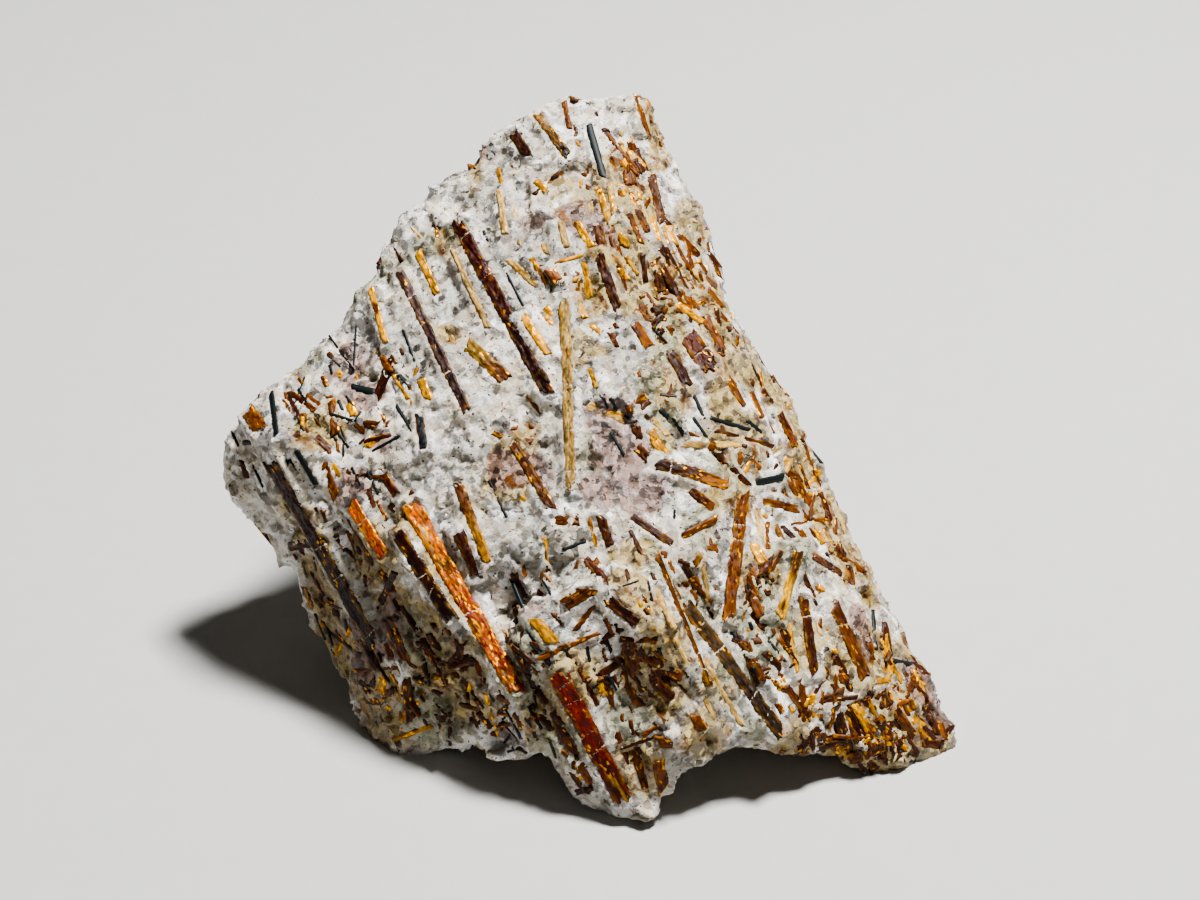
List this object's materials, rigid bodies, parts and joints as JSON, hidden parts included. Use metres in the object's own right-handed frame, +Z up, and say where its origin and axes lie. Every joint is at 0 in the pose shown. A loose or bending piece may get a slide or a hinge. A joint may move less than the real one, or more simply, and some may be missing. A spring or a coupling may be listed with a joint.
{
  "type": "astrophyllite mineral specimen",
  "caption": "Wedge-shaped broken rock of white feldspar on small flat feet, with bronze-brown astrophyllite blades and black-green aegirine needles set in its faces.",
  "frame": {"origin": "on the plane that the feet rest on, under the middle of the bounding box", "axes": "+X to the right along the widest spread of the feet, +Y from the sloping best face to the steep back, +Z up to the tip"},
  "size_m": [0.06, 0.0434, 0.0413],
  "materials": {
    "feldspar_matrix": "rough",
    "astrophyllite_dark": "glossy",
    "astrophyllite_bronze": "glossy",
    "astrophyllite_gold": "glossy",
    "astrophyllite_pale": "satin",
    "aegirine_black": "glossy"
  },
  "bodies": {
    "root": {"matrix": "feldspar_matrix", "astrophyllite_01": "astrophyllite_bronze", "astrophyllite_02": "astrophyllite_dark", "astrophyllite_03": "astrophyllite_pale", "astrophyllite_04": "astrophyllite_dark", "astrophyllite_05": "astrophyllite_pale", "astrophyllite_06": "astrophyllite_gold", "astrophyllite_07": "astrophyllite_dark", "astrophyllite_08": "astrophyllite_gold", "astrophyllite_09": "astrophyllite_dark", "astrophyllite_10": "astrophyllite_pale", "astrophyllite_11": "astrophyllite_gold", "astrophyllite_12": "astrophyllite_bronze", "astrophyllite_13": "astrophyllite_bronze", "astrophyllite_14": "astrophyllite_dark", "astrophyllite_15": "astrophyllite_dark", "astrophyllite_16": "astrophyllite_bronze", "astrophyllite_17": "astrophyllite_bronze", "astrophyllite_18": "astrophyllite_dark", "astrophyllite_19": "astrophyllite_gold", "astrophyllite_20": "astrophyllite_dark", "astrophyllite_21": "astrophyllite_bronze", "astrophyllite_22": "astrophyllite_dark", "astrophyllite_23": "astrophyllite_dark", "astrophyllite_24": "astrophyllite_bronze", "astrophyllite_25": "astrophyllite_dark", "astrophyllite_26": "astrophyllite_gold", "astrophyllite_27": "astrophyllite_dark", "astrophyllite_28": "astrophyllite_bronze", "astrophyllite_29": "astrophyllite_bronze", "astrophyllite_30": "astrophyllite_bronze", "astrophyllite_31": "astrophyllite_bronze", "astrophyllite_32": "astrophyllite_bronze", "astrophyllite_33": "astrophyllite_gold", "astrophyllite_34": "astrophyllite_dark", "astrophyllite_35": "astrophyllite_dark", "astrophyllite_36": "astrophyllite_bronze", "astrophyllite_37": "astrophyllite_dark", "astrophyllite_38": "astrophyllite_bronze", "astrophyllite_39": "astrophyllite_dark", "astrophyllite_40": "astrophyllite_bronze", "astrophyllite_41": "astrophyllite_dark", "astrophyllite_42": "astrophyllite_bronze", "astrophyllite_43": "astrophyllite_bronze", "astrophyllite_44": "astrophyllite_bronze", "astrophyllite_45": "astrophyllite_dark", "astrophyllite_46": "astrophyllite_gold", "astrophyllite_47": "astrophyllite_bronze", "aegirine_01": "aegirine_black", "aegirine_02": "aegirine_black", "aegirine_03": "aegirine_black", "aegirine_04": "aegirine_black", "aegirine_05": "aegirine_black", "aegirine_06": "aegirine_black"}
  },
  "joints": []
}
